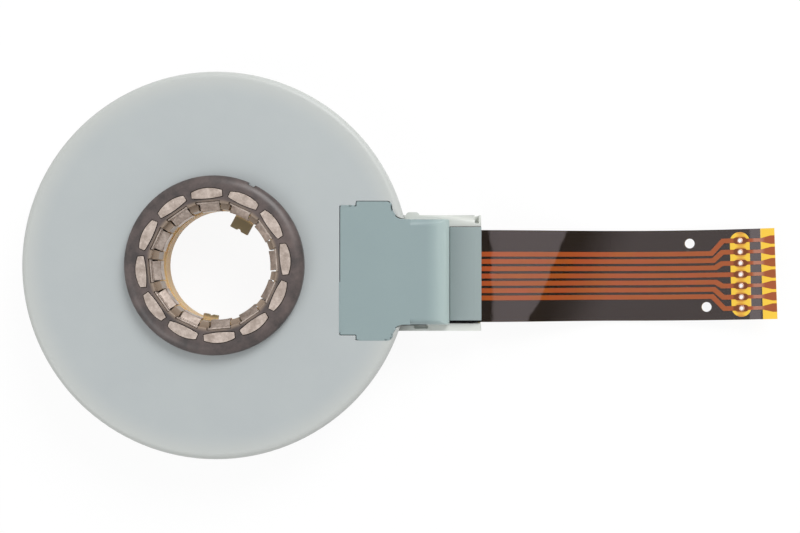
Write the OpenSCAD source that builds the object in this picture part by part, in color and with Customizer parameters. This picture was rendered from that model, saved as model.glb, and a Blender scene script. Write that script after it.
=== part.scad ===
// Steering torque and angle sensor: a round housing with two turning hubs and a flat flexible tail.
// The bore axis is Z, the housing stands on z = 0 and the tail runs along +X.

/* [Housing] */
// Outside diameter of the round housing
housing_d = 84; // [80:0.5:92]
// Height from the foot to the top of the cover
housing_h = 15.2; // [14.9:0.1:17]
// Height of the base where the cover's skirt meets it
base_h = 8.9; // [8:0.1:10]
// Wall of the base
base_wall = 1.6; // [1.2:0.1:2]
// Floor of the base
floor_t = 1.6; // [1.2:0.1:1.8]
// Plate of the cover
cover_t = 1.7; // [1.4:0.1:2]
// Skirt of the cover
skirt_t = 1.4; // [1:0.1:1.8]
// Edge radius round the cover
rim_r = 1.5; // [0.8:0.1:1.6]

/* [Neck] */
// How far the neck plate's head reaches in over the disc
head_inset = 15.1; // [13:0.1:17]
// Width of the neck plate's head
head_w = 29.8; // [28:0.1:32]
// Width of the head's inner step
head_step_w = 27.7; // [26:0.1:28]
// Width of the neck cover
neck_w = 22.8; // [22.6:0.1:24]
// How far the neck cover reaches out beyond the disc
neck_reach = 8.6; // [8.5:0.1:10]
// Roll radius of the neck cover's end
neck_roll_r = 3.2; // [2:0.1:3.4]
// Edge radius along the neck cover's sides
neck_side_r = 1.5; // [0.8:0.1:1.6]
// Width of the neck tray with its flanges
tray_w = 25.5; // [25.3:0.1:28]
// How far the neck tray reaches out beyond the disc
tray_reach = 15.7; // [15:0.1:17]
// Height of the neck tray's walls
tray_h = 9.2; // [9:0.1:9.6]
// Height of the cable clamp above the foot
clamp_h = 10.5; // [10.2:0.1:11.5]
// Width of the cable clamp
clamp_w = 20.5; // [20.4:0.1:20.8]

/* [Upper rotor] */
// Outside diameter of the collar's flange
collar_d = 38.6; // [37:0.1:42]
// Height of the collar's top above the foot
collar_top = 18.6; // [18.2:0.1:19.2]
// Thickness of the collar's flange at its rim
collar_rim_t = 1.6; // [1:0.1:2]
// Outside diameter of the collar's journal in the cover
journal_d = 34.4; // [34.2:0.1:35]
// Diameter across the grip pads, the upper shaft's size
grip_d = 23.6; // [23:0.1:24.2]
// Number of grip pads and of lands
pad_count = 12; // [8:1:12]
// Width of a grip pad
pad_w = 4.2; // [3:0.1:4.3]
// Length of a land along the ring
land_l = 6.6; // [5:0.1:6.7]
// Turn of the pads about the bore
pad_turn = 5; // [0:1:30]

/* [Lower rotor] */
// Bore of the lower hub, the lower shaft's size
hub_bore_d = 24.54; // [24:0.02:25]
// Outside diameter of the lower hub's journal
hub_journal_d = 29.74; // [29.5:0.02:30]
// Width of the drive key
key_w = 4.2; // [3:0.1:5]
// How far the drive key reaches in from the bore
key_reach = 3.55; // [2:0.05:4]
// Direction of the drive key
key_turn = 61.5; // [50:0.5:75]

/* [Flat cable] */
// Width of the tail
tail_w = 20.4; // [20.2:0.1:20.5]
// Length of the tail beyond the neck tray
tail_reach = 66.4; // [66.3:0.1:82]
// Height of the tail where it leaves the housing
tail_exit_z = 6.9; // [6:0.1:7.2]
// Thickness of each film
film_t = 0.12; // [0.1:0.01:0.15]
// Thickness of the copper
copper_t = 0.06; // [0.04:0.01:0.1]
// Width of a trace
trace_w = 1.06; // [0.8:0.02:1.2]
// Pitch of the traces along the tail
trace_pitch = 1.62; // [1.5:0.02:1.7]
// Pitch of the solder pads
solder_pitch = 2.54; // [2.4:0.01:2.6]
// Hole through each solder pad
solder_hole_d = 0.8; // [0.6:0.05:1.2]
// Locating hole in the tail
locating_d = 2.2; // [1.8:0.1:2.6]
// Turns of the wound cable
coil_turns = 7; // [4:0.5:9]

/* [Clearances] */
// Radial running clearance of each journal
run_gap = 0.08; // [0.06:0.01:0.1]
// Seam between fixed mouldings
seam = 0.14; // [0.1:0.01:0.2]
// Axial play between turning and fixed faces
play = 0.15; // [0.1:0.01:0.25]

/* [Hidden] */
$fn = 48;
// A small overlap that lets joined shapes fuse
eps = 0.02;
nylon = [0.74, 0.77, 0.77];
brown = [0.42, 0.38, 0.37];
sprung = [0.75, 0.71, 0.66];
amber = [0.75, 0.62, 0.4];
copper = [0.75, 0.39, 0.24];
// Housing
disc_r = housing_d / 2;
skirt_in_r = disc_r - skirt_t;
wall_r = skirt_in_r - seam / 2;
cavity_r = wall_r - base_wall;
cover_z = housing_h - cover_t;
head_x = disc_r - head_inset;
neck_end_x = disc_r + neck_reach;
tray_end_x = disc_r + tray_reach;
tail_end_x = tray_end_x + tail_reach;
// Rotor radii, from the bore outwards
grip_r = grip_d / 2;
pad_depth = 1.5;
lip_r = grip_r + pad_depth;
lip_t = 0.35;
lip_w = 5;
lip_fit = 0.05;
lip_in_r = lip_r + lip_fit;
lip_back_r = lip_r + lip_t + lip_fit;
post_t = 0.75;
post_out_r = lip_r + post_t;
post_in_r = grip_r + 0.4;
post_w = 2;
post_taper = 0.3;
sleeve_in_fit = 0.1;
sleeve_out_fit = 0.15;
sleeve_in_r = post_out_r + sleeve_in_fit;
journal_r = journal_d / 2;
skirt_wall = 1.8;
collar_in_r = journal_r - skirt_wall;
sleeve_out_r = collar_in_r - sleeve_out_fit;
cover_bore_r = journal_r + run_gap;
// Collar heights
flange_z = housing_h + play;
collar_plate_t = 2;
collar_under_z = collar_top - collar_plate_t;
window_gap = 0.12;
land_rise = 0.15;
lip_drop = 0.7;
land_w = 2.25;
land_set = 1;
land_in_r = lip_r + land_set;
land_out_arc_r = 7.6;
land_in_arc_r = 20;
land_foot = 0.2;
land_foot_z = collar_under_z - land_foot;
dome_set = 0.35;
dome_r = land_in_r + land_w + dome_set;
post_drop = 8.2;
hoop_h = 0.8;
post_bottom_z = collar_top - post_drop;
notch_w = 1.6;
notch_turn = 65;
// Grip pad heights, measured down from the collar's top
pad_top_drop = 2.8;
pad_ramp_drop = 3.9;
pad_foot_drop = 7.4;
pad_top = collar_top - pad_top_drop;
pad_shoulder = collar_top - pad_ramp_drop;
pad_bottom = collar_top - pad_foot_drop;
pad_t = 0.5;
// Board and drum
board_rise = 3.6;
board_z = floor_t + board_rise;
board_t = 0.8;
board_ledge = 0.45;
board_in_r = sleeve_in_r + board_ledge;
board_w = 10;
board_out_r = board_in_r + board_w;
drum_wall = 1;
drum_fit = 0.4;
drum_in_r = board_out_r + drum_fit;
drum_r = drum_in_r + drum_wall;
drum_gap = 0.5;
drum_top = cover_z - drum_gap;
drum_bottom = floor_t + drum_gap;
drum_web = 0.8;
sleeve_gap = 0.03;
drum_sleeve_t = 1.3;
drum_sleeve_r = journal_r + sleeve_gap + drum_sleeve_t;
rib_count = 6;
rib_t = 1;
track_t = 0.05;
track_w = 0.9;
angle_track_w = 1.3;
torque_track_set = 0.3;
torque_track_step = 1.2;
angle_track_set = 5.2;
angle_track_step = 2;
torque_track_r = [board_in_r + torque_track_set, board_in_r + torque_track_set + torque_track_step];
angle_track_r = [board_in_r + angle_track_set, board_in_r + angle_track_set + angle_track_step];
// Lower hub
hub_r = hub_bore_d / 2;
hub_journal_r = hub_journal_d / 2;
base_bore_r = hub_journal_r + run_gap;
boss_rise = 0.8;
boss_wall = 2.5;
boss_h = floor_t + boss_rise;
boss_r = base_bore_r + boss_wall;
hub_foot_z = 0.4;
hub_rest = 0.1;
hub_flange_z = boss_h + hub_rest;
hub_flange_t = 0.8;
hub_flange_top = hub_flange_z + hub_flange_t;
hub_flange_w = 2;
hub_flange_r = base_bore_r + hub_flange_w;
hub_wall = 1.3;
hub_tube_r = hub_r + hub_wall;
hub_top_gap = 1.6;
hub_top = post_bottom_z - hub_top_gap;
key_seat = 2.6;
key_seat_z = hub_top - key_seat;
key_seat_step = 0.3;
key_h = 2;
key_small_turn = 260;
key_small_w = 3.2;
key_small_reach = 1.3;
// Contact springs
wiper_t = 0.18;
wiper_w = 0.7;
wiper_reach = 4.2;
wiper_count = 4;
wiper_rim_in = 0.6;
wiper_rim_out = 0.3;
angle_wiper_in_r = angle_track_r[0] - wiper_rim_in;
angle_wiper_out_r = angle_track_r[1] + angle_track_w + wiper_rim_out;
// Neck
neck_y = -1.4;
head_y = -1.1;
tray_y = -1.65;
clamp_y = -1.82;
head_t = 1;
head_step_l = 3.5;
head_l = 11;
head_step_x = head_x + head_step_l;
head_end_x = head_x + head_l;
neck_corner_r = 2.6;
neck_wall = 1.3;
tray_lap = 6;
tray_start_x = disc_r - tray_lap;
ledge_t = 1.4;
clamp_x = neck_end_x + seam;
// Wound cable
cable_t = 0.2;
cable_under = 0.4;
cable_over = 0.3;
cable_z0 = floor_t + cable_under;
cable_z1 = cover_z - cable_over;
coil_step = 15;
coil_in_gap = 0.15;
coil_out_gap = 0.5;
coil_in_r = (drum_r + coil_in_gap + cable_t / 2) / cos(coil_step / 2);
coil_out_r = cavity_r - coil_out_gap;
fold_reach = 2.7;
fold_x = disc_r + fold_reach;
leave_turn = -20;
leave_sweep = 14;
coil_start = leave_turn - 360 * coil_turns;
coil_stop = 5;
// Tail and the tray round it
tail_y = -2.35;
tray_in_y0 = min(clamp_y - clamp_w / 2, tail_y - tail_w / 2) - seam;
tray_in_y1 = max(clamp_y + clamp_w / 2, tail_y + tail_w / 2) + seam;
slot_rim = 0.5;
slot_w = 0.8;
slot_deep = 1;
slot_y = tray_y - tray_w / 2 + slot_rim;
tail_start_x = fold_x + cable_t / 2;
flap_bend_r = 1;
flap_w = 11.2;
exit_x = tray_end_x + 0.2;
low_x = tail_start_x + 45.2;
low_z = 0.15;
end_rise = 3.65;
drift = 0.56;
widen_x = tail_start_x + 2.5;
window_x0 = tail_end_x - 9.65;
window_x1 = tail_end_x - 5.35;
window_rim = 0.65;
window_l = tail_w - 2 * window_rim;
strip_x = tail_end_x - 3;
solder_x = tail_end_x - 7.5;
locating_x = [tail_end_x - 18.55, tail_end_x - 15.05];
locating_set = 3.1;
locating_v = [tail_w / 2 - locating_set + 0.1, locating_set - 0.1 - tail_w / 2];
jog_x = tail_end_x - 12.6;
strip_trace_w = 0.8;
pad_l = 3;
pad_h = 1.5;
flare_w = 1.9;
film_z = tail_exit_z + film_t;
copper_z = film_z + film_t;

// A flat plate outline with round corners
module rounded(x0, y0, x1, y1, r) {
    translate([x0 + r, y0]) square([x1 - x0 - 2 * r, y1 - y0]);
    translate([x0, y0 + r]) square([x1 - x0, y1 - y0 - 2 * r]);
    for (x = [x0 + r, x1 - r], y = [y0 + r, y1 - r]) translate([x, y]) circle(r);
}

// A straight-sided ring
module ring(r_in, r_out, z0, z1) {
    translate([0, 0, z0]) difference() {
        cylinder(r = r_out, h = z1 - z0);
        translate([0, 0, -1]) cylinder(r = r_in, h = z1 - z0 + 2);
    }
}

// Box between two corners
module block(x0, y0, z0, x1, y1, z1) {
    translate([x0, y0, z0]) cube([x1 - x0, y1 - y0, z1 - z0]);
}

// Outline of the neck plate: a stepped head, two hollow corners and the neck
module neck_outline(gap) {
    r = neck_corner_r;
    n0 = neck_y - neck_w / 2 - gap;
    n1 = neck_y + neck_w / 2 + gap;
    h0 = head_y - head_w / 2 - gap;
    h1 = head_y + head_w / 2 + gap;
    s0 = head_y - head_step_w / 2 - gap;
    s1 = head_y + head_step_w / 2 + gap;
    he = head_end_x + gap;
    translate([head_x - gap, s0]) square([head_step_x - head_x + 1, s1 - s0]);
    rounded(head_step_x - gap, h0, he, h1, 1);
    translate([head_step_x - gap, h0]) square([2, h1 - h0]);
    translate([head_step_x, n0]) square([neck_end_x + gap - head_step_x, n1 - n0]);
    for (s = [[n1, 1], [n0, -1]]) translate([he - eps, s[0] - s[1] * eps]) mirror([0, s[1] < 0 ? 1 : 0])
        difference() {
            square([r, r]);
            translate([r + eps, r + eps]) circle(r);
        }
}

// Space that the neck takes through the walls for the cable
module neck_passage(z0, z1) {
    block(cavity_r - 5, tray_in_y0 - 0.5, z0, fold_x + 1, tray_in_y1, z1);
}

module base_shell() {
    color(nylon) difference() {
        union() {
            cylinder(r = disc_r, h = base_h);
            cylinder(r = wall_r, h = cover_z);
            difference() {
                union() {
                    block(tray_start_x, tray_y - tray_w / 2, 0, tray_end_x, tray_y + tray_w / 2, tray_h);
                    translate([0, 0, floor_t]) linear_extrude(tray_h - floor_t)
                        rounded(disc_r - 0.9, tray_y, disc_r + 2.1, tray_y + tray_w / 2 + 0.65, 0.8);
                }
                translate([0, 0, base_h]) ring(0, disc_r + seam, 0, cover_z);
            }
        }
        difference() {
            translate([0, 0, floor_t]) cylinder(r = cavity_r, h = housing_h);
            cylinder(r = boss_r, h = boss_h);
        }
        translate([0, 0, -1]) cylinder(r = base_bore_r, h = housing_h);
        difference() {
            union() {
                neck_passage(floor_t, housing_h);
                block(disc_r - 2, tray_in_y0, floor_t, tray_end_x - ledge_t, tray_in_y1, housing_h);
                block(disc_r, tray_in_y0, tail_exit_z, tray_end_x + 1, tray_in_y1, housing_h);
            }
            block(clamp_x + 0.8, tray_in_y0 - 1, 0, clamp_x + 0.8 + ledge_t, tray_in_y1 + 1, tail_exit_z);
        }
        block(tray_end_x - ledge_t, tray_in_y1 + 0.7, floor_t + 1.4, tray_end_x - 0.5, tray_y + tray_w, tray_h + 1);
        translate([0, 0, tray_h - slot_deep]) linear_extrude(slot_deep + 1)
            rounded(disc_r + 0.9, slot_y, disc_r + 4, slot_y + slot_w, 0.35);
    }
}

module top_cover() {
    color(nylon) difference() {
        rotate_extrude($fn = 96) difference() {
            union() {
                translate([0, base_h + 0.1]) square([disc_r, housing_h - base_h - 0.1 - rim_r]);
                translate([0, cover_z]) square([disc_r - rim_r, cover_t]);
                translate([disc_r - rim_r, housing_h - rim_r]) circle(rim_r);
            }
            translate([-1, base_h - 1]) square([skirt_in_r + 1, cover_z - base_h + 1]);
            translate([-1, 0]) square([cover_bore_r + 1, housing_h + 1]);
        }
        translate([0, 0, housing_h - head_t]) linear_extrude(head_t + 1) neck_outline(seam);
        neck_passage(base_h - 1, cover_z - eps);
    }
}

// Neck cover's section along X, with the rolled end
module neck_side_section(inset) {
    r = neck_roll_r - inset;
    x1 = neck_end_x - inset;
    z1 = housing_h - inset;
    translate([head_x - 1, 0]) square([x1 - r - head_x + 1, z1]);
    translate([head_x - 1, 0]) square([x1 - head_x + 1, z1 - r]);
    translate([x1 - r, z1 - r]) circle(r);
}

// Neck cover's section across, with its rounded long edges
module neck_cross_section() {
    r = neck_side_r;
    y0 = neck_y - neck_w / 2;
    y1 = neck_y + neck_w / 2;
    translate([y0, 0]) square([neck_w, housing_h - r]);
    translate([y0 + r, 0]) square([neck_w - 2 * r, housing_h]);
    for (y = [y0 + r, y1 - r]) translate([y, housing_h - r]) circle(r);
}

module neck_cover() {
    y0 = neck_y - neck_w / 2;
    y1 = neck_y + neck_w / 2;
    color(nylon) difference() {
        union() {
            intersection() {
                translate([0, 0, housing_h - head_t]) linear_extrude(head_t) neck_outline(0);
                block(0, -disc_r, 0, disc_r, disc_r, housing_h);
            }
            intersection() {
                block(disc_r - 4, y0, tray_h, neck_end_x + 1, y1, housing_h + 1);
                rotate([90, 0, 0]) translate([0, 0, -disc_r]) linear_extrude(2 * disc_r)
                    neck_side_section(0);
                rotate([90, 0, 90]) translate([0, 0, head_x]) linear_extrude(disc_r)
                    neck_cross_section();
            }
        }
        translate([0, 0, -1]) cylinder(r = disc_r + seam, h = housing_h - head_t + 1);
        block(0, y0 + neck_wall, 0, neck_end_x - neck_wall, y1 - neck_wall, cover_z);
        block(0, -disc_r, -1, disc_r - 4 + eps, disc_r, housing_h - head_t);
    }
}

module cable_clamp() {
    z0 = copper_z + copper_t + 0.03;
    color(nylon) difference() {
        block(clamp_x, clamp_y - clamp_w / 2, z0, tray_end_x, clamp_y + clamp_w / 2, clamp_h);
        translate([tray_end_x, 0, clamp_h + 3.4]) rotate([90, 0, 0])
            cylinder(r = 3.7, h = 4 * clamp_w, center = true);
    }
}

// Spring finger that climbs from a plate to a track above it
module finger(r, z0, z1) {
    rise = z1 - z0;
    translate([r + wiper_w, 0, z0]) rotate([90, 0, -90]) linear_extrude(wiper_w)
        polygon([[-1, wiper_t / 4], [0, wiper_t / 4], [wiper_reach - 0.6, rise - wiper_t],
            [wiper_reach, rise - wiper_t], [wiper_reach, rise], [wiper_reach - 0.8, rise],
            [-0.4, wiper_t * 0.8], [-1, wiper_t * 0.8]]);
}

module angle_wiper() {
    tip = board_z - track_t;
    color(copper) union() {
        ring(angle_wiper_in_r, angle_wiper_out_r, floor_t, floor_t + wiper_t);
        for (i = [0 : wiper_count - 1], r = angle_track_r) rotate(i * 360 / wiper_count)
            finger(r + (angle_track_w - wiper_w) / 2, floor_t, tip);
    }
}

function smooth(t) = let (u = min(1, max(0, t))) u * u * (3 - 2 * u);
// Wound cable: an even spiral that bends out to a flat stretch in the neck
function coil_r(a) = let (t = smooth((a - leave_turn) / leave_sweep),
    s = coil_in_r + (coil_out_r - coil_in_r) * min(1, (a - coil_start) / (leave_turn - coil_start)))
    (1 - t) * s + t * fold_x / cos(a * t);
function coil_point(a, off) = let (r = coil_r(a) + off) [r * cos(a), r * sin(a)];
coil_angles = concat([for (a = [coil_start : coil_step : leave_turn - 1]) a],
    [for (a = [leave_turn : 2 : coil_stop]) a], [coil_stop]);

module wound_cable() {
    color(brown) translate([0, 0, cable_z0]) linear_extrude(cable_z1 - cable_z0)
        polygon(concat([for (a = coil_angles) coil_point(a, cable_t / 2)],
            [for (i = [len(coil_angles) - 1 : -1 : 0]) coil_point(coil_angles[i], -cable_t / 2)]));
}

// Height of the tail's underside along its length
function tail_z(x) = x < low_x ? tail_exit_z - (tail_exit_z - low_z) * smooth((x - exit_x) / (low_x - exit_x))
    : low_z + end_rise * pow((x - low_x) / (tail_end_x - low_x), 2);
tail_xs = [for (i = [0 : 36]) exit_x + i * (tail_end_x + 1 - exit_x) / 36];
flap_top = cable_z1 - 0.3;
// The tail's layer between two offsets above its underside, as a section in X and Z
function tail_side(off) = concat([[tail_start_x + off, flap_top]],
    [for (a = [180 : 30 : 270]) [tail_start_x + flap_bend_r + 3 * film_t + (flap_bend_r + 3 * film_t - off) * cos(a),
        tail_exit_z + flap_bend_r + 3 * film_t + (flap_bend_r + 3 * film_t - off) * sin(a)]],
    [for (x = tail_xs) [x, tail_z(x) + off]]);
module tail_layer(off0, off1) {
    lower = tail_side(off0);
    upper = tail_side(off1);
    translate([0, disc_r, 0]) rotate([90, 0, 0]) linear_extrude(2 * disc_r)
        polygon(concat(lower, [for (i = [len(upper) - 1 : -1 : 0]) upper[i]]));
}

// Sideways drift of the tail's middle line and a point beside it
function drift_y(x) = x < low_x ? 0 : drift * pow((x - low_x) / (tail_end_x - low_x), 2);
function drift_slope(x) = x < low_x ? 0 : 2 * drift * (x - low_x) / pow(tail_end_x - low_x, 2);
function at(x, v) = [x - v * drift_slope(x), tail_y + drift_y(x) + v];
tail_stations = [for (i = [0 : 6]) low_x + i * (tail_end_x - low_x) / 6];

module tail_outline() {
    w = tail_w / 2;
    f = flap_w / 2;
    polygon(concat([[tail_start_x - 1, tail_y - f], at(widen_x, -f), at(widen_x + 2, -w)],
        [for (x = tail_stations) at(x, -w)], [for (i = [6 : -1 : 0]) at(tail_stations[i], w)],
        [at(widen_x + 2, w), at(widen_x, f), [tail_start_x - 1, tail_y + f]]));
}

module tail_holes() {
    for (i = [-3 : 3]) translate(at(solder_x, i * solder_pitch)) circle(d = solder_hole_d);
    for (i = [0, 1]) translate(at(locating_x[i], locating_v[i])) circle(d = locating_d);
}

// Opening in the backing over the solder pads, and the bare strip at the end
module tail_windows() {
    r = (window_x1 - window_x0) / 2;
    x = (window_x0 + window_x1) / 2;
    v = window_l / 2 - r;
    for (s = [-v, v]) translate(at(x, s)) circle(r);
    polygon([at(x, -v) - [r, 0], at(x, -v) + [r, 0], at(x, v) + [r, 0], at(x, v) - [r, 0]]);
    polygon([at(strip_x, -tail_w), at(strip_x, tail_w), at(tail_end_x + 3, tail_w), at(tail_end_x + 3, -tail_w)]);
}

module tail_backing() {
    color([0.18, 0.16, 0.16]) intersection() {
        tail_layer(0, film_t);
        linear_extrude(housing_h) difference() {
            tail_outline();
            tail_windows();
            for (i = [0, 1]) translate(at(locating_x[i], locating_v[i])) circle(d = locating_d);
        }
    }
}

module tail_film() {
    color([0.95, 0.7, 0.2]) intersection() {
        tail_layer(film_t, 2 * film_t);
        linear_extrude(housing_h) difference() {
            tail_outline();
            tail_holes();
        }
    }
}

// One conductor: straight run, jog to the solder pitch, pad with its hole, thin link, flared end
module trace_outline(i) {
    v0 = -i * trace_pitch;
    v1 = -i * solder_pitch;
    w = trace_w / 2;
    s = strip_trace_w / 2;
    j = abs(i);
    x0 = jog_x - 0.4 * j;
    x1 = x0 + 0.9 + 0.55 * j;
    sgn = i > 0 ? 1 : -1;
    lean = w * 0.5 * sgn * (j > 0 ? 1 : 0);
    difference() {
        union() {
            polygon(concat([[widen_x + 1, tail_y + v0 - w]], [for (x = [low_x : 6 : x0 - 1]) at(x, v0 - w)],
                [at(x0 - lean, v0 - w), at(x1 - lean, v1 - w), at(solder_x, v1 - w),
                    at(solder_x, v1 + w), at(x1 + lean, v1 + w), at(x0 + lean, v0 + w)],
                [for (x = [x0 - 1 : -6 : low_x]) at(x, v0 + w)], [[widen_x + 1, tail_y + v0 + w]]));
            polygon([at(solder_x, v1 - s), at(strip_x, v1 - s), at(tail_end_x - 0.9, v1 - flare_w / 2),
                at(tail_end_x - 0.05, v1 - flare_w / 2), at(tail_end_x - 0.05, v1 + flare_w / 2),
                at(tail_end_x - 0.9, v1 + flare_w / 2), at(strip_x, v1 + s), at(solder_x, v1 + s)]);
            for (k = [-1, 1]) translate(at(solder_x + k * (pad_l - pad_h) / 2, v1)) circle(d = pad_h);
            polygon([at(solder_x - (pad_l - pad_h) / 2, v1 - pad_h / 2), at(solder_x + (pad_l - pad_h) / 2, v1 - pad_h / 2),
                at(solder_x + (pad_l - pad_h) / 2, v1 + pad_h / 2), at(solder_x - (pad_l - pad_h) / 2, v1 + pad_h / 2)]);
        }
        translate(at(solder_x, v1)) circle(d = solder_hole_d);
    }
}

module trace(i) {
    color(copper) intersection() {
        tail_layer(2 * film_t, 2 * film_t + copper_t);
        linear_extrude(housing_h) trace_outline(i);
    }
}

// One land's outline: a lens with a flatter inner side and blunt ends
module land_outline(gap) {
    intersection() {
        translate([land_in_r - gap, -land_l / 2 - gap]) square([land_w + 2 * gap, land_l + 2 * gap]);
        translate([land_in_r + land_w - land_out_arc_r, 0]) circle(land_out_arc_r + gap, $fn = 96);
        translate([land_in_r + land_in_arc_r, 0]) circle(land_in_arc_r + gap, $fn = 192);
    }
}

// One post between two grip pads: narrow towards the bore, up to a height
module post(r_in, w_in, w_out, z0, z1) {
    translate([0, 0, z0]) linear_extrude(z1 - z0)
        polygon([[r_in, -w_in / 2], [post_out_r, -w_out / 2], [post_out_r, w_out / 2], [r_in, w_in / 2]]);
}

module upper_collar() {
    color(brown) difference() {
        union() {
            rotate_extrude($fn = 96) polygon(concat([[lip_in_r, collar_under_z], [lip_in_r, collar_top - 0.15],
                [lip_in_r + 0.15, collar_top]], [for (a = [0 : 15 : 90]) [dome_r + (collar_d / 2 - dome_r) * sin(a),
                flange_z + collar_rim_t + (collar_top - flange_z - collar_rim_t) * cos(a)]],
                [[collar_d / 2, flange_z], [journal_r, flange_z], [journal_r, board_z + board_t],
                [collar_in_r, board_z + board_t], [collar_in_r, collar_under_z]]));
            ring(lip_r - 0.05, post_out_r + 0.05, post_bottom_z, post_bottom_z + hoop_h);
            for (i = [0 : pad_count - 1]) rotate(pad_turn + (i + 0.5) * 360 / pad_count) {
                post(post_in_r, post_w - post_taper, post_w + post_taper, post_bottom_z + 0.1, pad_top + 0.2);
                post(lip_in_r + 0.1, post_w, post_w, pad_top, collar_under_z + 0.3);
            }
        }
        for (i = [0 : pad_count - 1]) rotate(pad_turn + i * 360 / pad_count)
            block(lip_r - 1, -lip_w / 2 - window_gap, collar_under_z - 0.5, lip_back_r, lip_w / 2 + window_gap,
                collar_top + 1);
        for (i = [0 : pad_count - 1]) rotate(pad_turn + i * 360 / pad_count)
            translate([0, 0, collar_under_z - 0.3]) linear_extrude(3) land_outline(window_gap);
        rotate(notch_turn) block(collar_d / 2 - 0.5, -notch_w / 2, 0, collar_d, notch_w / 2, collar_top + 1);
    }
}

// One grip pad's section: web from the sleeve, ramp and upright face
module pad_section() {
    face = grip_r - 0.15;
    web = lip_r - 0.12;
    polygon([[sleeve_in_r + 0.3, pad_top + 0.45], [web, pad_top + 0.45], [web, pad_top], [face + 0.22, pad_shoulder],
        [face, pad_shoulder - 0.3], [face, pad_bottom], [face + 0.5, pad_bottom - 0.2],
        [face + 0.5, pad_shoulder - 0.5], [lip_r + 0.1, pad_top - 0.6], [sleeve_in_r + 0.3, pad_top - 0.6]]);
}

module grip_ring() {
    color(sprung) difference() {
        union() {
            ring(sleeve_in_r, sleeve_out_r, board_z + board_t, collar_under_z);
            for (i = [0 : pad_count - 1]) rotate(pad_turn + i * 360 / pad_count) {
                block(lip_r, -lip_w / 2, pad_top + 0.3, lip_r + lip_t, lip_w / 2, collar_top - lip_drop);
                translate([0, pad_w / 2, 0]) rotate([90, 0, 0]) linear_extrude(pad_w) pad_section();
                translate([0, 0, land_foot_z]) linear_extrude(collar_top + land_rise - land_foot_z)
                    land_outline(0);
            }
        }
        translate([0, 0, pad_bottom - 1]) cylinder(r = grip_r, h = pad_shoulder - pad_bottom + 2);
    }
}

module cable_drum() {
    color(nylon) union() {
        ring(journal_r + sleeve_gap, drum_sleeve_r, board_z + board_t, drum_top);
        ring(journal_r + sleeve_gap, drum_r, drum_top - drum_web, drum_top);
        ring(drum_in_r, drum_r, drum_bottom, drum_top);
        for (i = [0 : rib_count - 1]) rotate(i * 360 / rib_count)
            block(drum_sleeve_r - 0.3, -rib_t / 2, board_z + board_t, drum_in_r + 0.3, rib_t / 2, drum_top);
    }
}

module sensor_board() {
    color([0.2, 0.35, 0.25]) ring(board_in_r, board_out_r, board_z, board_z + board_t);
}

module track(r, w) {
    color([0.1, 0.1, 0.1]) ring(r, r + w, board_z - track_t, board_z);
}

// Drive key that stands in from the seat, with a shallow groove across its tip
module key(turn, w, reach) {
    rotate(turn) difference() {
        block(hub_r - reach, -w / 2, hub_top - key_h - 0.2, hub_r + 0.8, w / 2, hub_top - 0.2);
        translate([hub_r - reach - 0.2, 0, 0]) cylinder(r = w / 7, h = housing_h);
    }
}

module lower_hub() {
    color(amber) union() {
        difference() {
            union() {
                cylinder(r = hub_journal_r, h = hub_flange_z + eps);
                translate([0, 0, hub_flange_z]) cylinder(r = hub_flange_r, h = hub_flange_t);
                cylinder(r = hub_tube_r, h = hub_top);
            }
            translate([0, 0, -1]) cylinder(r = disc_r, h = 1 + hub_foot_z);
            translate([0, 0, -1]) cylinder(r = hub_r, h = housing_h);
            translate([0, 0, key_seat_z]) cylinder(r = hub_r + key_seat_step, h = housing_h);
        }
        key(key_turn, key_w, key_reach);
        key(key_small_turn, key_small_w, key_small_reach);
    }
}

module torque_wiper() {
    tip = board_z - track_t;
    color(copper) union() {
        ring(hub_tube_r + 0.2, hub_flange_r - 0.1, hub_flange_top, hub_flange_top + wiper_t);
        for (i = [0 : wiper_count - 1], r = torque_track_r) rotate(45 + i * 360 / wiper_count)
            finger(r + (track_w - wiper_w) / 2, hub_flange_top, tip);
    }
}

base_shell();
top_cover();
neck_cover();
cable_clamp();
angle_wiper();
wound_cable();
tail_backing();
tail_film();
trace(-3);  // trace_1
trace(-2);  // trace_2
trace(-1);  // trace_3
trace(0);  // trace_4
trace(1);  // trace_5
trace(2);  // trace_6
trace(3);  // trace_7
upper_collar();
grip_ring();
cable_drum();
sensor_board();
track(torque_track_r[0], track_w);  // torque_track_inner
track(torque_track_r[1], track_w);  // torque_track_outer
track(angle_track_r[0], angle_track_w);  // angle_track_inner
track(angle_track_r[1], angle_track_w);  // angle_track_outer
lower_hub();
torque_wiper();
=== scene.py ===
from math import atan, cos, pi, radians, sin

import bmesh
import bpy
from mathutils import Matrix, Vector


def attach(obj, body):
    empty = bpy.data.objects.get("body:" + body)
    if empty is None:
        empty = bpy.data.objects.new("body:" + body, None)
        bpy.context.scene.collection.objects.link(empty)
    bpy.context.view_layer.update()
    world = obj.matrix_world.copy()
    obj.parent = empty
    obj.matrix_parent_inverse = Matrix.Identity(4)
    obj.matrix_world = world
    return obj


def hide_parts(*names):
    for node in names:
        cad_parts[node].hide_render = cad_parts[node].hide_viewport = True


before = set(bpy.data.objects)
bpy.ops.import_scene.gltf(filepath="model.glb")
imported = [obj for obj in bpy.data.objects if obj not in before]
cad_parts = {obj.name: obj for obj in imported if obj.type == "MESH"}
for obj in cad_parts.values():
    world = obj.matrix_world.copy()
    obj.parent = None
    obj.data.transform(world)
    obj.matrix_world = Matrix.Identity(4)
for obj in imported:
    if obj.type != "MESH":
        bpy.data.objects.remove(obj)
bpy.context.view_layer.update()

# The camera hangs over the sensor and looks straight down, as the photograph was taken,
# with the bore a little left of the middle and the tail running to the right.
camera = bpy.data.objects.new("overhead_camera", bpy.data.cameras.new("overhead_camera"))
camera.data.sensor_width = 36
camera.data.lens = 58.32
camera.location = (0.03982, -0.00023, 0.2946)
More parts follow.
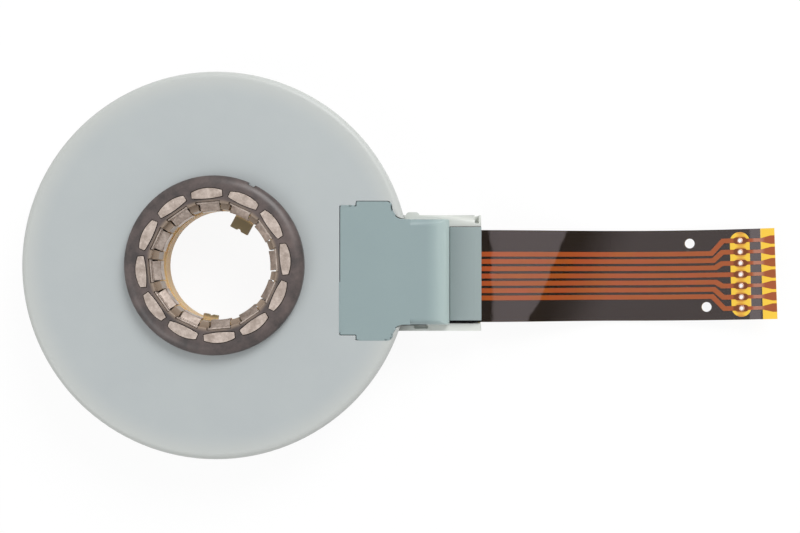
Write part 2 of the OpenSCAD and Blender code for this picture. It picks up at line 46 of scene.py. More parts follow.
bpy.context.scene.collection.objects.link(camera)
bpy.context.scene.camera = camera
bpy.context.scene.view_settings.view_transform = "Standard"


# The table is a sheet of matt white paper under the sensor. It reads as plain white and
# keeps a soft shadow close round the housing.
def paint(code):
    """An sRGB hex colour as the linear colour that a shader takes."""
    parts = [int(code[i : i + 2], 16) / 255 for i in (1, 3, 5)]
    return [c / 12.92 if c <= 0.04045 else ((c + 0.055) / 1.055) ** 2.4 for c in parts] + [1]


def part(material, kind, settings=None, **inputs):
    """Adds one shader node, with its settings and with a value or a link for each input."""
    made = material.node_tree.nodes.new(kind)
    for key, value in (settings or {}).items():
        setattr(made, key, value)
    for key, value in inputs.items():
        socket = made.inputs[int(key[1:]) if key[0] == "_" else key.replace("__", " ")]
        if isinstance(value, bpy.types.NodeSocket):
            material.node_tree.links.new(value, socket)
        else:
            socket.default_value = value
    return made


def blank(name):
    """A new material with no nodes in it."""
    made = bpy.data.materials.new(name)
    made.use_nodes = True
    made.node_tree.nodes.clear()
    return made


def seen_ray(material):
    """1 for rays that the camera sees by, straight or through gloss and clear film."""
    rays = part(material, "ShaderNodeLightPath").outputs
    most = part(material, "ShaderNodeMath", {"operation": "MAXIMUM"},
                _0=rays["Is Camera Ray"], _1=rays["Is Glossy Ray"])
    return part(material, "ShaderNodeMath", {"operation": "MAXIMUM"},
                _0=most.outputs[0], _1=rays["Is Transmission Ray"]).outputs[0]


sheet_half = 1.5
sheet_middle = (0.04, 0, -0.0004)
paper_mottle = 2.5  # mm across
paper_glow_share = 0.92
table_sheet = bmesh.new()
bmesh.ops.create_grid(table_sheet, x_segments=1, y_segments=1, size=sheet_half,
                      matrix=Matrix.Translation(sheet_middle))
table_mesh = bpy.data.meshes.new("table_sheet")
table_sheet.to_mesh(table_mesh)
table_sheet.free()
table = bpy.data.objects.new("table_sheet", table_mesh)
bpy.context.scene.collection.objects.link(table)
white_paper = blank("matt_white_paper")
paper_grain = part(white_paper, "ShaderNodeTexNoise", Scale=1000 / paper_mottle, Detail=2.0,
                   Vector=part(white_paper, "ShaderNodeTexCoord").outputs["Object"])
paper_tone = part(white_paper, "ShaderNodeMapRange", Value=paper_grain.outputs["Fac"],
                  _3=0.93, _4=0.95)
paper_face = part(white_paper, "ShaderNodeBsdfDiffuse", Color=paper_tone.outputs[0])
# bright to the eye, but no brighter as a lamp than plain paper
paper_glow = part(white_paper, "ShaderNodeEmission", Color=paint("#ffffff"), Strength=1.0)
paper_share = part(white_paper, "ShaderNodeMath", {"operation": "MULTIPLY"},
                   _0=seen_ray(white_paper), _1=paper_glow_share)
paper_mix = part(white_paper, "ShaderNodeMixShader", Fac=paper_share.outputs[0],
                 _1=paper_face.outputs[0], _2=paper_glow.outputs[0])
part(white_paper, "ShaderNodeOutputMaterial", Surface=paper_mix.outputs[0])
table_mesh.materials.append(white_paper)


# Two large soft boxes light the sensor from above, the stronger one from the far side, and
# a white room fills the shadows.
def soft_box(name, place, watts):
    """A round lamp half a metre across that faces the housing."""
    lamp = bpy.data.lights.new(name, "AREA")
    lamp.shape = "DISK"
    lamp.size = 0.5
    lamp.energy = watts
    holder = bpy.data.objects.new(name, lamp)
    holder.location = place
    facing = Vector((0.03, 0, 0)) - Vector(place)
    holder.rotation_euler = facing.to_track_quat("-Z", "Y").to_euler()
    bpy.context.scene.collection.objects.link(holder)


soft_box("far_soft_box", (0.34, 0.56, 0.62), 5.0)
soft_box("near_soft_box", (-0.5, -0.38, 0.6), 1.5)
room_fill = 0.62
room_as_seen = 1.0
room = bpy.data.worlds.new("white_room")
bpy.context.scene.world = room
room.use_nodes = True
room.node_tree.nodes.clear()
room_strength = part(room, "ShaderNodeMapRange", Value=seen_ray(room),
                     _3=room_fill, _4=room_as_seen)
room_light = part(room, "ShaderNodeBackground", Color=paint("#ffffff"),
                  Strength=room_strength.outputs[0])
part(room, "ShaderNodeOutputWorld", Surface=room_light.outputs[0])


# The base shell is the tray that everything sits in. It is injection moulded in unfilled
# natural nylon, milky and slightly clear at its thin edges, with a fine spark-eroded grain.
def from_axis(material, place):
    """Distance from the bore's axis, in metres."""
    level = part(material, "ShaderNodeVectorMath", {"operation": "MULTIPLY"},
                 _0=place, _1=(1, 1, 0))
    return part(material, "ShaderNodeVectorMath", {"operation": "LENGTH"},
                _0=level.outputs[0]).outputs["Value"]


def natural_nylon(name, tone, deep, edge=None, rough=0.46, painted_light_x=None):
    """Moulded natural nylon: a milky, satin body that lets a little light in."""
    # mould grain is finer in life, and is drawn as coarse as it needs to show
    flow_mark, mould_grain = 14, 0.4  # mm across
    made = blank(name)
    place = part(made, "ShaderNodeTexCoord").outputs["Object"]
    # the flow marks are barely seen
    cloud = part(made, "ShaderNodeTexNoise", Vector=place, Scale=1000 / flow_mark,
                 Detail=3.0, Roughness=0.6)
    body = part(made, "ShaderNodeMix", {"data_type": "RGBA"}, Factor=cloud.outputs["Fac"],
                _6=paint(tone), _7=paint(deep))
    colour = body.outputs[2]
    if edge:
        # light comes in from the side, so the disc pales towards its rim
        pale = part(made, "ShaderNodeMapRange", {"interpolation_type": "SMOOTHSTEP"},
                    Value=from_axis(made, place), _1=0.036, _2=0.0425)
        rim = part(made, "ShaderNodeMix", {"data_type": "RGBA"}, Factor=pale.outputs[0],
                   _6=colour, _7=paint(edge))
        colour = rim.outputs[2]
    if painted_light_x:
        # painted light: the colour pales along X from the first place to the second, standing in
        # for light or shade there
        start, end, clear = painted_light_x
        along = part(made, "ShaderNodeSeparateXYZ", Vector=place)
        painted_light_fade = part(made, "ShaderNodeMapRange", {"interpolation_type": "SMOOTHSTEP"},
                    Value=along.outputs["X"], _1=start, _2=end)
        painted_light_mix = part(made, "ShaderNodeMix", {"data_type": "RGBA"}, Factor=painted_light_fade.outputs[0],
                   _6=colour, _7=paint(clear))
        colour = painted_light_mix.outputs[2]
    grain = part(made, "ShaderNodeTexNoise", Vector=place, Scale=1000 / mould_grain, Detail=2.0)
    relief = part(made, "ShaderNodeBump", Height=grain.outputs["Fac"], Distance=0.000006,
                  Strength=0.6)
    gloss = part(made, "ShaderNodeMapRange", Value=cloud.outputs["Fac"],
                 _3=rough - 0.05, _4=rough + 0.05)
    skin = part(made, "ShaderNodeBsdfPrincipled", Base__Color=colour, Normal=relief.outputs[0],
                Roughness=gloss.outputs[0], IOR=1.53, Subsurface__Weight=0.18,
                Subsurface__Scale=0.0012, Subsurface__Radius=(1.0, 1.0, 0.9))
    part(made, "ShaderNodeOutputMaterial", Surface=skin.outputs[0])
    return made


def dress(node_name, material):
    """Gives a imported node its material."""
    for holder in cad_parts[node_name].material_slots:
        holder.material = material


doubles_within = 0.00003
flat_angle = radians(0.5)
corner_angle = radians(28)
crease_angle = radians(38)
corner_room = 2.2  # an edge is eased where every neighbour is longer than this many radii


def eased(node_name, piece_name, corner, material, body, above=-1.0):
    """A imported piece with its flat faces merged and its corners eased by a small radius."""
    shape = bmesh.new()
    shape.from_mesh(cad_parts[node_name].data)
    bmesh.ops.remove_doubles(shape, verts=shape.verts, dist=doubles_within)
    bmesh.ops.dissolve_limit(shape, angle_limit=flat_angle, verts=shape.verts,
                             edges=shape.edges)
    sharp = [e for e in shape.edges if e.is_manifold and e.calc_face_angle(0) > corner_angle
             and min(v.co.z for v in e.verts) > above
             and min(n.calc_length() for v in e.verts for n in v.link_edges)
             > corner_room * corner]
    bmesh.ops.bevel(shape, geom=sharp, offset=corner, offset_type="OFFSET", affect="EDGES",
                    segments=2, profile=0.5, material=-1)
    mesh = bpy.data.meshes.new(piece_name)
    shape.to_mesh(mesh)
    shape.free()
    mesh.materials.clear()
    mesh.materials.append(material)
    mesh.shade_smooth()
    mesh.set_sharp_from_angle(angle=crease_angle)
    piece = bpy.data.objects.new(piece_name, mesh)
    bpy.context.scene.collection.objects.link(piece)
    flats = piece.modifiers.new("flat_faces_stay_flat", "WEIGHTED_NORMAL")
    flats.keep_sharp = True
    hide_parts(node_name)
    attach(piece, body)


# painted light: the flanges beside the neck are painted paler along X, to lift the shade that the
# disc casts on them
tray_nylon = natural_nylon("natural_nylon_tray", "#b0b6b6", "#a8aeb0", edge="#bcbebb",
                           painted_light_x=(0.0390, 0.0430, "#cfd2cd"))
eased("base_shell", "base_shell_moulding", 0.00015, tray_nylon, "housing")


# The angle wiper is a sheet of phosphor bronze, stamped with eight sprung fingers and staked
# to the tray's floor. The torque wiper on the lower hub has eight of its own.
def pressed_metal(name, tone, dark, rough, brush):
    """Rolled and pressed sheet metal, dull, with fine marks along one direction."""
    # roll marks are finer in life, and are drawn as coarse as they need to show
    roll_mark, blotch_size = 0.5, 1.6  # mm across
    made = blank(name)
    place = part(made, "ShaderNodeTexCoord").outputs["Object"]
    stretch = part(made, "ShaderNodeMapping", Vector=place, Scale=brush)
    marks = part(made, "ShaderNodeTexNoise", Vector=stretch.outputs[0],
                 Scale=1000 / roll_mark, Detail=4.0, Roughness=0.7)
    blotch = part(made, "ShaderNodeTexNoise", Vector=place, Scale=1000 / blotch_size,
                  Detail=3.0)
    both = part(made, "ShaderNodeMath", {"operation": "MULTIPLY"},
                _0=marks.outputs["Fac"], _1=blotch.outputs["Fac"])
    spread = part(made, "ShaderNodeMapRange", Value=both.outputs[0], _1=0.14, _2=0.36)
    body = part(made, "ShaderNodeMix", {"data_type": "RGBA"}, Factor=spread.outputs[0],
                _6=paint(dark), _7=paint(tone))
    dull = part(made, "ShaderNodeMapRange", Value=marks.outputs["Fac"],
                _3=rough + 0.12, _4=rough - 0.06)
    relief = part(made, "ShaderNodeBump", Height=marks.outputs["Fac"], Distance=0.000012,
                  Strength=0.7)
    skin = part(made, "ShaderNodeBsdfPrincipled", Base__Color=body.outputs[2],
                Roughness=dull.outputs[0], Normal=relief.outputs[0], Metallic=1.0)
    part(made, "ShaderNodeOutputMaterial", Surface=skin.outputs[0])
    return made


# rolled bronze is a warm brown, streaked one way
bronze = pressed_metal("phosphor_bronze_rolled", "#c08a5c", "#8a5c3a", 0.32, (0.15, 1, 1))
dress("angle_wiper", bronze)
dress("torque_wiper", bronze)

# The lower hub is the amber inner ring with the drive key. It is moulded in polyetherimide,
# which looks like clear honey where it is thin, and it turns in the tray's boss.
amber_flow, amber_grain_size = 5, 0.3  # mm across
amber = blank("amber_polyetherimide_moulded")
amber_place = part(amber, "ShaderNodeTexCoord").outputs["Object"]
amber_cloud = part(amber, "ShaderNodeTexNoise", Vector=amber_place, Scale=1000 / amber_flow,
                   Detail=3.0)
amber_body = part(amber, "ShaderNodeMix", {"data_type": "RGBA"},
                  Factor=amber_cloud.outputs["Fac"], _6=paint("#e8cb9a"), _7=paint("#cfae7c"))
# the drive key, inside the bore's wall, is thick and has gone olive from grease
amber_thick = part(amber, "ShaderNodeMapRange", Value=from_axis(amber, amber_place),
                   _1=0.0118, _2=0.0112)
amber_mix = part(amber, "ShaderNodeMix", {"data_type": "RGBA"}, Factor=amber_thick.outputs[0],
                 _6=amber_body.outputs[2], _7=paint("#857552"))
amber_grain = part(amber, "ShaderNodeTexNoise", Vector=amber_place,
                   Scale=1000 / amber_grain_size, Detail=2.0)
amber_relief = part(amber, "ShaderNodeBump", Height=amber_grain.outputs["Fac"],
                    Distance=0.000005, Strength=0.5)
amber_skin = part(amber, "ShaderNodeBsdfPrincipled", Base__Color=amber_mix.outputs[2],
                  Normal=amber_relief.outputs[0], Roughness=0.5, IOR=1.5,
                  Subsurface__Weight=0.35, Subsurface__Scale=0.0015,
                  Subsurface__Radius=(1.0, 0.6, 0.25))
part(amber, "ShaderNodeOutputMaterial", Surface=amber_skin.outputs[0])
eased("lower_hub", "lower_hub_moulding", 0.0001, amber, "lower_rotor")

# The sensor board is a ring of satin green glass-epoxy laminate, pressed into the drum. Its
# four tracks are screen printed in carbon ink, which dries to a dull near-black.
dress("sensor_board", natural_nylon("glass_epoxy_laminate", "#4e6b3c", "#425c34", rough=0.4))
ink_grain = 0.15  # mm across
carbon = blank("printed_carbon_ink")
carbon_grain = part(carbon, "ShaderNodeTexNoise", Scale=1000 / ink_grain, Detail=3.0,
                    Vector=part(carbon, "ShaderNodeTexCoord").outputs["Object"])
carbon_tone = part(carbon, "ShaderNodeMix", {"data_type": "RGBA"},
                   Factor=carbon_grain.outputs["Fac"], _6=paint("#1c1c1d"), _7=paint("#2e2e30"))
carbon_skin = part(carbon, "ShaderNodeBsdfPrincipled", Base__Color=carbon_tone.outputs[2],
                   Roughness=0.6)
part(carbon, "ShaderNodeOutputMaterial", Surface=carbon_skin.outputs[0])
for track in ("torque_track_inner", "torque_track_outer", "angle_track_inner",
              "angle_track_outer"):
    dress(track, carbon)

# The cable drum turns with the collar and carries the wound cable round its wall. It is
# moulded in the same natural nylon as the housing.
dress("cable_drum", natural_nylon("natural_nylon_drum", "#c6cbc8", "#bcc3c1"))

# The wound cable is a flat flexible circuit, copper between glossy polyester films. It is
# wound on edge round the drum, so its conductors show as stripes one above the other.
stripe_pitch = 0.0008
wound = blank("wound_flat_cable")
wound_height = part(wound, "ShaderNodeSeparateXYZ",
                    Vector=part(wound, "ShaderNodeTexCoord").outputs["Object"])
wound_band = part(wound, "ShaderNodeMath", {"operation": "PINGPONG"},
                  _0=wound_height.outputs["Z"], _1=stripe_pitch)
wound_stripe = part(wound, "ShaderNodeMapRange", Value=wound_band.outputs[0],
                    _1=0.00035, _2=0.00045)
wound_tone = part(wound, "ShaderNodeMix", {"data_type": "RGBA"},
                  Factor=wound_stripe.outputs[0], _6=paint("#2a2524"), _7=paint("#8a5836"))
wound_skin = part(wound, "ShaderNodeBsdfPrincipled", Base__Color=wound_tone.outputs[2],
                  Roughness=0.25)
part(wound, "ShaderNodeOutputMaterial", Surface=wound_skin.outputs[0])
dress("wound_cable", wound)

# The grip ring is spring steel with a dull, warm grey coat of tin. It is drawn to a sleeve
# with twelve lands that stand up through the collar and twelve sprung pads that hold the
# shaft.
tinned = pressed_metal("tinned_spring_steel", "#c2b5ac", "#9a8d84", 0.4, (1, 1, 0.12))
eased("grip_ring", "grip_ring_pressing", 0.00006, tinned, "upper_rotor")

# The collar is the dark brown ring round the bore. It is moulded over the grip ring in
# glass-filled polyester, which leaves a dry satin skin with soft darker patches.
# the fibres are finer in life, and are drawn as coarse as they need to show
patch_size, fibre_size = 4.5, 0.25  # mm across
brown = blank("glass_filled_polyester_brown")
brown_place = part(brown, "ShaderNodeTexCoord").outputs["Object"]
brown_cloud = part(brown, "ShaderNodeTexNoise", Vector=brown_place, Scale=1000 / patch_size,
                   Detail=5.0, Roughness=0.7)
brown_patch = part(brown, "ShaderNodeMapRange", Value=brown_cloud.outputs["Fac"],
                   _1=0.34, _2=0.66)
brown_body = part(brown, "ShaderNodeMix", {"data_type": "RGBA"}, Factor=brown_patch.outputs[0],
                  _6=paint("#2d2625"), _7=paint("#584b48"))
# the posts in the bore are thin enough to let light through, so they read as bronze
brown_thin = part(brown, "ShaderNodeMapRange", {"interpolation_type": "SMOOTHSTEP"},
                  Value=from_axis(brown, brown_place), _1=0.0144, _2=0.0132)
brown_mix = part(brown, "ShaderNodeMix", {"data_type": "RGBA"}, Factor=brown_thin.outputs[0],
                 _6=brown_body.outputs[2], _7=paint("#8f7d6c"))
brown_fibre = part(brown, "ShaderNodeTexNoise", Vector=brown_place, Scale=1000 / fibre_size,
                   Detail=3.0)
brown_relief = part(brown, "ShaderNodeBump", Height=brown_fibre.outputs["Fac"],
                    Distance=0.00001, Strength=0.7)
brown_skin = part(brown, "ShaderNodeBsdfPrincipled", Base__Color=brown_mix.outputs[2],
                  Normal=brown_relief.outputs[0], Roughness=0.42, IOR=1.57)
part(brown, "ShaderNodeOutputMaterial", Surface=brown_skin.outputs[0])
# edges that start below this level, such as those of the posts, stay sharp
sharp_below = 0.0115
eased("upper_collar", "upper_collar_moulding", 0.00008, brown, "upper_rotor",
      above=sharp_below)

# The top cover is the big round lid with its rounded rim, moulded in the same natural nylon
# as the tray. It snaps over the tray's wall.
housing_nylon = natural_nylon("natural_nylon_lid", "#b0b6b6", "#a8aeb0", edge="#b9bcb9")
eased("top_cover", "top_cover_moulding", 0.00015, housing_nylon, "housing")

# The neck cover is a stepped plate let into the lid and welded round its edge. It comes from
# a greener batch of the same nylon, and is painted paler where the plate rolls down at its end,
# as painted light where the roll faces the far soft box.
neck_nylon = natural_nylon("natural_nylon_neck", "#8a9b9c", "#849597",
                           painted_light_x=(0.0450, 0.0504, "#a6b7b5"))
eased("neck_cover", "neck_cover_moulding", 0.00012, neck_nylon, "housing")


# The weld flash is nylon that was squeezed out of the seam round the plate when it was
# welded in. It closes the seam except along three lines, which stay open and dark.
def bead(name, path, width, low, high, material, body):
    """A bar of even width, drawn along a level path from its first section."""
    rows = []
    for i, (x, y) in enumerate(path):
        before, after = path[max(i - 1, 0)], path[min(i + 1, len(path) - 1)]
        across = Vector((before[1] - after[1], after[0] - before[0])).normalized()
        side = across * width / 2
        rows.append([(x + k * side.x, y + k * side.y, z)
                     for k, z in ((-1, low), (1, low), (1, high), (-1, high))])
    shape = bmesh.new()
    end = shape.faces.new([shape.verts.new(corner) for corner in rows[0]])
    for row in rows[1:]:
        drawn = bmesh.ops.extrude_face_region(shape, geom=[end])["geom"]
        end = next(item for item in drawn if isinstance(item, bmesh.types.BMFace))
        for vert, corner in zip(end.verts, row):
            vert.co = corner
    bmesh.ops.recalc_face_normals(shape, faces=shape.faces)
    upper = [e for e in shape.edges if min(v.co.z for v in e.verts) > high - 0.00001
             and e.calc_face_angle(0) > corner_angle]
    bmesh.ops.bevel(shape, geom=upper, offset=width / 5, offset_type="OFFSET", affect="EDGES",
                    segments=2, profile=0.5, material=-1)
    mesh = bpy.data.meshes.new(name)
    shape.to_mesh(mesh)
    shape.free()
    mesh.materials.append(material)
    mesh.shade_smooth()
    mesh.set_sharp_from_angle(angle=crease_angle)
    made = bpy.data.objects.new(name, mesh)
    bpy.context.scene.collection.objects.link(made)
    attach(made, body)


flash_width, flash_low, flash_high = 0.0005, 0.01425, 0.015205
round_r, hollow_r = 0.00107, 0.0026  # the plate's corner beside the neck, and the hollow after it
hollow_turns = [radians(12 * k) for k in range(5)]
flash_paths = {
    "weld_flash_far":
        [(0.0369 + round_r * cos(a), 0.0128 + round_r * sin(a))
         for a in (radians(45), radians(22), 0)]
        + [(0.04057 - hollow_r * cos(a), 0.01267 - hollow_r * sin(a)) for a in hollow_turns],
    "weld_flash_near":
        [(0.0308 + 0.0006 * k, -0.01607) for k in range(11)]
        + [(0.0369 + round_r * cos(a), -0.0150 + round_r * sin(a))
           for a in [radians(-78 + 13 * k) for k in range(5)]]
        + [(0.04057 - hollow_r * cos(a), -0.01547 + hollow_r * sin(a)) for a in hollow_turns],
    "weld_flash_left": [(0.02683, -0.0145 + 0.001 * k) for k in range(12)],
    "weld_flash_step": [(0.0270 + 0.0005 * k, 0.01282) for k in range(7)],
}
for flash_name, flash_path in flash_paths.items():
    bead(flash_name, flash_path, flash_width, flash_low, flash_high, neck_nylon, "housing")

# The clamp is a block of the same greenish nylon. It is pressed down between the neck's two
# flanges and holds the tail where it comes out.
# painted light: the block is painted paler towards its outer end, standing in for the shade of
# the neck's step on its inner end
clamp_nylon = natural_nylon("natural_nylon_clamp", "#879494", "#808d8e",
                            painted_light_x=(0.0515, 0.0577, "#8c9999"))
eased("cable_clamp", "cable_clamp_moulding", 0.00012, clamp_nylon, "housing")

# The tail's cover film is a black polyimide sheet with windows and two locating holes. It is
# laminated to the amber film.
backing_patch = 2.0  # mm across
backing = blank("black_cover_film")
backing_grain = part(backing, "ShaderNodeTexNoise", Scale=1000 / backing_patch, Detail=3.0,
                     Vector=part(backing, "ShaderNodeTexCoord").outputs["Object"])
backing_tone = part(backing, "ShaderNodeMix", {"data_type": "RGBA"},
                    Factor=backing_grain.outputs["Fac"],
                    _6=paint("#0e0c10"), _7=paint("#151317"))
# the low IOR keeps it deep black, because most of its gloss is lost against the amber film
backing_skin = part(backing, "ShaderNodeBsdfPrincipled", Base__Color=backing_tone.outputs[2],
                    Roughness=0.4, IOR=1.12)
part(backing, "ShaderNodeOutputMaterial", Surface=backing_skin.outputs[0])
dress("tail_backing", backing)
# painted shade: thin black strips of the film stand in the shaded gaps on both sides of the clamp
shade_strip_low, shade_strip_high = 0.0085, 0.0098
for shade_strip_name, shade_strip_y, shade_strip_width in (("painted_shade_strip_far", 0.0085, 0.00013),
                                      ("painted_shade_strip_near", -0.01222, 0.00026)):
    bead(shade_strip_name, [(0.0508 + 0.00098 * k, shade_strip_y) for k in range(8)], shade_strip_width,
         shade_strip_low, shade_strip_high, backing, "housing")


# The tail's base film is amber polyimide, clear and glossy. A milky veil is painted on it as a
# painted reflection of a soft box, broken by a slanted dark band near the clamp.
def painted_reflection_mask(material, place):
    """1 where a painted reflection of a soft box lies on the tail as a milky veil, 0 where it
    does not.
    """
    boundary_wander_size = 5  # mm across
    at = part(material, "ShaderNodeSeparateXYZ", Vector=place)
    boundary_wander = part(material, "ShaderNodeTexNoise", Vector=place, Scale=1000 / boundary_wander_size,
                  Detail=2.0)
    wander = part(material, "ShaderNodeMapRange", Value=boundary_wander.outputs["Fac"],
                  _3=-0.0012, _4=0.0012)
    lean = part(material, "ShaderNodeMath", {"operation": "MULTIPLY_ADD"},
                _0=at.outputs["Y"], _1=-0.432, _2=at.outputs["X"])
    across = part(material, "ShaderNodeMath", {"operation": "ADD"},
                  _0=lean.outputs[0], _1=wander.outputs[0])
    out_of_clamp = part(material, "ShaderNodeMath", {"operation": "ADD"},
                        _0=at.outputs["X"], _1=wander.outputs[0])
    start = part(material, "ShaderNodeMapRange", Value=out_of_clamp.outputs[0],
                 _1=0.0598, _2=0.0604)
    reflection_edge = part(material, "ShaderNodeMapRange", Value=across.outputs[0],
                  _1=0.0744, _2=0.0738)
    reflection_returns = part(material, "ShaderNodeMapRange", {"interpolation_type": "SMOOTHSTEP"},
                 Value=across.outputs[0], _1=0.0765, _2=0.092, _3=0.0, _4=0.62)
    near = part(material, "ShaderNodeMath", {"operation": "MULTIPLY"},
                _0=start.outputs[0], _1=reflection_edge.outputs[0])
    return part(material, "ShaderNodeMath", {"operation": "MAXIMUM"},
                _0=near.outputs[0], _1=reflection_returns.outputs[0]).outputs[0]


pad_row_x, pad_row_y, pad_pitch = 0.1166, -0.002009, 0.00254
film_wave_size = 12  # mm across
film_reflection_share, film_scuff_share = 0.086, 0.085
film = blank("amber_polyimide_film")
film_place = part(film, "ShaderNodeTexCoord").outputs["Object"]
film_wave = part(film, "ShaderNodeTexNoise", Scale=1000 / film_wave_size, Detail=2.0,
                 Vector=film_place)
film_relief = part(film, "ShaderNodeBump", Height=film_wave.outputs["Fac"], Distance=0.0002,
                   Strength=0.4)
film_gloss = part(film, "ShaderNodeBsdfGlossy", Normal=film_relief.outputs[0], Roughness=0.1,
                  Color=paint("#ffffff"))
# it is tinted a deeper brown round each pad
film_at = part(film, "ShaderNodeSeparateXYZ", Vector=film_place)
film_off = part(film, "ShaderNodeMath", {"operation": "SUBTRACT"},
                _0=film_at.outputs["X"], _1=pad_row_x)
film_row = part(film, "ShaderNodeMath", {"operation": "SUBTRACT"},
                _0=film_at.outputs["Y"], _1=pad_row_y)
film_gap = part(film, "ShaderNodeMath", {"operation": "PINGPONG"},
                _0=film_row.outputs[0], _1=pad_pitch / 2)
film_from_pad = part(film, "ShaderNodeCombineXYZ", X=film_off.outputs[0],
                     Y=film_gap.outputs[0])
film_reach = part(film, "ShaderNodeVectorMath", {"operation": "LENGTH"},
                  _0=film_from_pad.outputs[0])
film_round_pad = part(film, "ShaderNodeMapRange", {"interpolation_type": "SMOOTHSTEP"},
                 Value=film_reach.outputs["Value"], _1=0.0016, _2=0.0009)
# both faces tint the light that passes, so these are half of the film's depth of colour,
# given as the shares of red, green and blue light that one face lets through
film_passes, film_round_pad_passes = (0.99, 0.79, 0.16, 1), (0.84, 0.56, 0.13, 1)
film_tint = part(film, "ShaderNodeMix", {"data_type": "RGBA"}, Factor=film_round_pad.outputs[0],
                 _6=film_passes, _7=film_round_pad_passes)
film_clear = part(film, "ShaderNodeBsdfTransparent", Color=film_tint.outputs[2])
# only the outer faces reflect, because the inner one is cemented to the black film
film_fresnel = part(film, "ShaderNodeFresnel", Normal=film_relief.outputs[0], IOR=1.27)
film_outer = part(film, "ShaderNodeMapRange", _3=1.0, _4=0.0,
                  Value=part(film, "ShaderNodeNewGeometry").outputs["Backfacing"])
film_share = part(film, "ShaderNodeMath", {"operation": "MULTIPLY"},
                  _0=film_fresnel.outputs[0], _1=film_outer.outputs[0])
film_mix = part(film, "ShaderNodeMixShader", Fac=film_share.outputs[0],
                _1=film_clear.outputs[0], _2=film_gloss.outputs[0])
film_scuff_and_reflection_tone = part(film, "ShaderNodeBsdfDiffuse", Color=paint("#e6d8dc"))
# painted reflection: a milky veil where a soft box would show in the film's gloss, added to the
# scuffed grey
film_painted_reflection = part(film, "ShaderNodeMath", {"operation": "MULTIPLY"},
                _0=painted_reflection_mask(film, film_place), _1=film_reflection_share)
# it is scuffed grey between the pads and the bare end
film_scuff = part(film, "ShaderNodeMapRange", Value=film_off.outputs[0],
                  _1=0.0018, _2=0.0021)
film_bare = part(film, "ShaderNodeMapRange", Value=film_off.outputs[0], _1=0.0046, _2=0.0042)
film_grey = part(film, "ShaderNodeMath", {"operation": "MULTIPLY"},
                 _0=film_scuff.outputs[0], _1=film_bare.outputs[0])
film_scuff_and_reflection = part(film, "ShaderNodeMath", {"operation": "MULTIPLY_ADD"},
                 _0=film_grey.outputs[0], _1=film_scuff_share, _2=film_painted_reflection.outputs[0])
film_scuff_and_reflection_front = part(film, "ShaderNodeMath", {"operation": "MULTIPLY"},
                 _0=film_scuff_and_reflection.outputs[0], _1=film_outer.outputs[0])
film_all = part(film, "ShaderNodeMixShader", Fac=film_scuff_and_reflection_front.outputs[0], _1=film_mix.outputs[0],
                _2=film_scuff_and_reflection_tone.outputs[0])
part(film, "ShaderNodeOutputMaterial", Surface=film_all.outputs[0])
# its underside is drawn 50 microns higher than in the solid, to lie clear of the black film
film_lift = (0, 0, 0.00005)
thin_film = bmesh.new()
thin_film.from_mesh(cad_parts["tail_film"].data)
bmesh.ops.remove_doubles(thin_film, verts=thin_film.verts, dist=0.00001)
bmesh.ops.recalc_face_normals(thin_film, faces=thin_film.faces)
thin_film.normal_update()
bmesh.ops.translate(thin_film, vec=film_lift,
                    verts=[v for v in thin_film.verts if v.normal.z < -0.05])
film_mesh = bpy.data.meshes.new("tail_film_sheet")
thin_film.to_mesh(film_mesh)
thin_film.free()
film_mesh.materials.clear()
film_mesh.materials.append(film)
film_sheet = bpy.data.objects.new("tail_film_sheet", film_mesh)
bpy.context.scene.collection.objects.link(film_sheet)
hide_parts("tail_film")
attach(film_sheet, "housing")

# The seven conductors are rolled copper, etched to width and cemented to the amber film.
# They have a dull orange sheen, and heat from the soldering has darkened the pads.
copper_mark, copper_stain_size = 0.8, 7  # mm across
copper_reflection_share, copper_link_share = 0.14, 0.3
copper = blank("etched_rolled_copper")
copper_place = part(copper, "ShaderNodeTexCoord").outputs["Object"]
copper_run = part(copper, "ShaderNodeMapping", Vector=copper_place, Scale=(0.15, 1, 1))
copper_marks = part(copper, "ShaderNodeTexNoise", Vector=copper_run.outputs[0],
                    Scale=1000 / copper_mark, Detail=4.0, Roughness=0.7)
copper_stain = part(copper, "ShaderNodeTexNoise", Vector=copper_place,
                    Scale=1000 / copper_stain_size, Detail=2.0)
copper_blend = part(copper, "ShaderNodeMix", {"data_type": "RGBA"},
                    Factor=copper_marks.outputs["Fac"],
                    _6=paint("#a4571f"), _7=paint("#934628"))
copper_patch = part(copper, "ShaderNodeMapRange", Value=copper_stain.outputs["Fac"],
                    _1=0.4, _2=0.65)
copper_tone = part(copper, "ShaderNodeMix", {"data_type": "RGBA"},
                   Factor=copper_patch.outputs[0],
                   _6=copper_blend.outputs[2], _7=paint("#a04c2a"))
# distance along the tail from the middle of the pads
copper_at = part(copper, "ShaderNodeSeparateXYZ", Vector=copper_place)
copper_off = part(copper, "ShaderNodeMath", {"operation": "SUBTRACT"},
                  _0=copper_at.outputs["X"], _1=pad_row_x)
copper_far = part(copper, "ShaderNodeMath", {"operation": "ABSOLUTE"}, _0=copper_off.outputs[0])
copper_hot = part(copper, "ShaderNodeMapRange", {"interpolation_type": "SMOOTHSTEP"},
                  Value=copper_far.outputs[0], _1=0.0019, _2=0.0013)
copper_burnt = part(copper, "ShaderNodeMix", {"data_type": "RGBA"},
                    Factor=copper_hot.outputs[0],
                    _6=copper_tone.outputs[2], _7=paint("#70340f"))
copper_dull = part(copper, "ShaderNodeMapRange", Value=copper_marks.outputs["Fac"],
                   _3=0.42, _4=0.28)
copper_relief = part(copper, "ShaderNodeBump", Height=copper_marks.outputs["Fac"],
                     Distance=0.000008, Strength=0.6)
copper_skin = part(copper, "ShaderNodeBsdfPrincipled", Base__Color=copper_burnt.outputs[2],
                   Roughness=copper_dull.outputs[0], Normal=copper_relief.outputs[0],
                   Metallic=1.0)
copper_pale_and_reflection_tone = part(copper, "ShaderNodeBsdfDiffuse", Color=paint("#c8a090"))
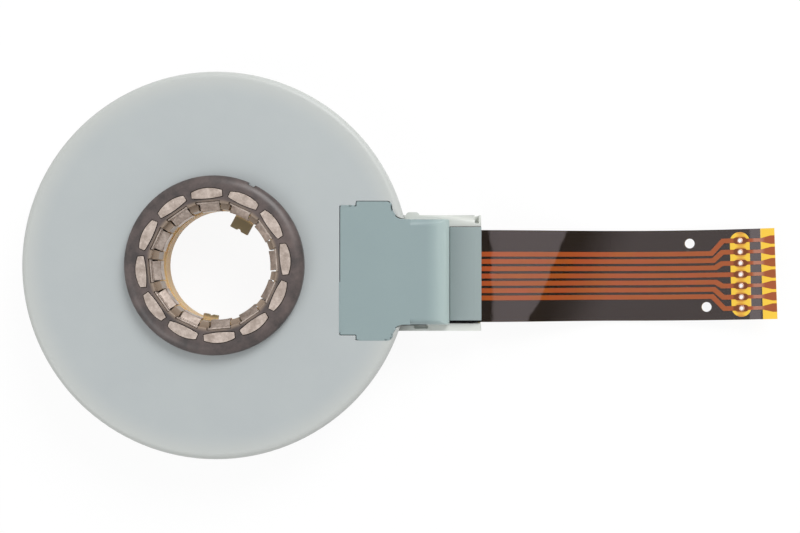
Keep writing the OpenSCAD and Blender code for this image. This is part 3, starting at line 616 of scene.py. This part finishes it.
# the links between the pads and the bare end are thin and pale
copper_link = part(copper, "ShaderNodeMapRange", Value=copper_off.outputs[0],
                   _1=0.0024, _2=0.0029)
copper_pale = part(copper, "ShaderNodeMapRange", Value=copper_off.outputs[0],
                   _1=0.0052, _2=0.0044)
copper_both = part(copper, "ShaderNodeMath", {"operation": "MULTIPLY"},
                   _0=copper_link.outputs[0], _1=copper_pale.outputs[0])
# painted reflection: the same milky veil over the copper, added to the pale links
copper_painted_reflection = part(copper, "ShaderNodeMath", {"operation": "MULTIPLY"},
                   _0=painted_reflection_mask(copper, copper_place), _1=copper_reflection_share)
copper_pale_and_reflection = part(copper, "ShaderNodeMath", {"operation": "MULTIPLY_ADD"},
                   _0=copper_both.outputs[0], _1=copper_link_share, _2=copper_painted_reflection.outputs[0])
copper_all = part(copper, "ShaderNodeMixShader", Fac=copper_pale_and_reflection.outputs[0],
                  _1=copper_skin.outputs[0], _2=copper_pale_and_reflection_tone.outputs[0])
part(copper, "ShaderNodeOutputMaterial", Surface=copper_all.outputs[0])
for number in range(1, 8):
    dress("trace_%d" % number, copper)

# The solder rims are thin rings of tin-lead solder, one round the hole of each pad, and look
# pale beside the copper. The seven of them lie in a row that leans and climbs a little with
# the tail.
rim_profile = [(0.00041, -0.00001), (0.00041, 0.00003), (0.00047, 0.00005),
               (0.00058, 0.00004), (0.00066, -0.00001)]
rim_steps = 28
row_lean, row_height, row_climb = 0.000065, 0.002675, 0.000011
tail_tilt = Matrix.Rotation(-atan(0.167), 4, "Y")
rims = bmesh.new()
for number in range(-3, 4):
    ring = bmesh.new()
    corners = [ring.verts.new((x, 0, z)) for x, z in rim_profile]
    for here, there in zip(corners, corners[1:] + corners[:1]):
        ring.edges.new((here, there))
    bmesh.ops.spin(ring, geom=ring.verts[:] + ring.edges[:], cent=(0, 0, 0), axis=(0, 0, 1),
                   angle=2 * pi, steps=rim_steps, use_merge=True)
    bmesh.ops.recalc_face_normals(ring, faces=ring.faces)
    middle = Vector((pad_row_x + row_lean * number, pad_row_y - pad_pitch * number,
                     row_height + row_climb * number))
    ring.transform(Matrix.Translation(middle) @ tail_tilt)
    turned = bpy.data.meshes.new("rim")
    ring.to_mesh(turned)
    ring.free()
    rims.from_mesh(turned)
    bpy.data.meshes.remove(turned)
rim_mesh = bpy.data.meshes.new("solder_rims")
rims.to_mesh(rim_mesh)
rims.free()
rim_mesh.shade_smooth()
rim_mesh.materials.append(pressed_metal("tin_lead_solder", "#d8b4a2", "#b08876", 0.35,
                                        (1, 1, 1)))
solder_rims = bpy.data.objects.new("solder_rims", rim_mesh)
bpy.context.scene.collection.objects.link(solder_rims)
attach(solder_rims, "housing")
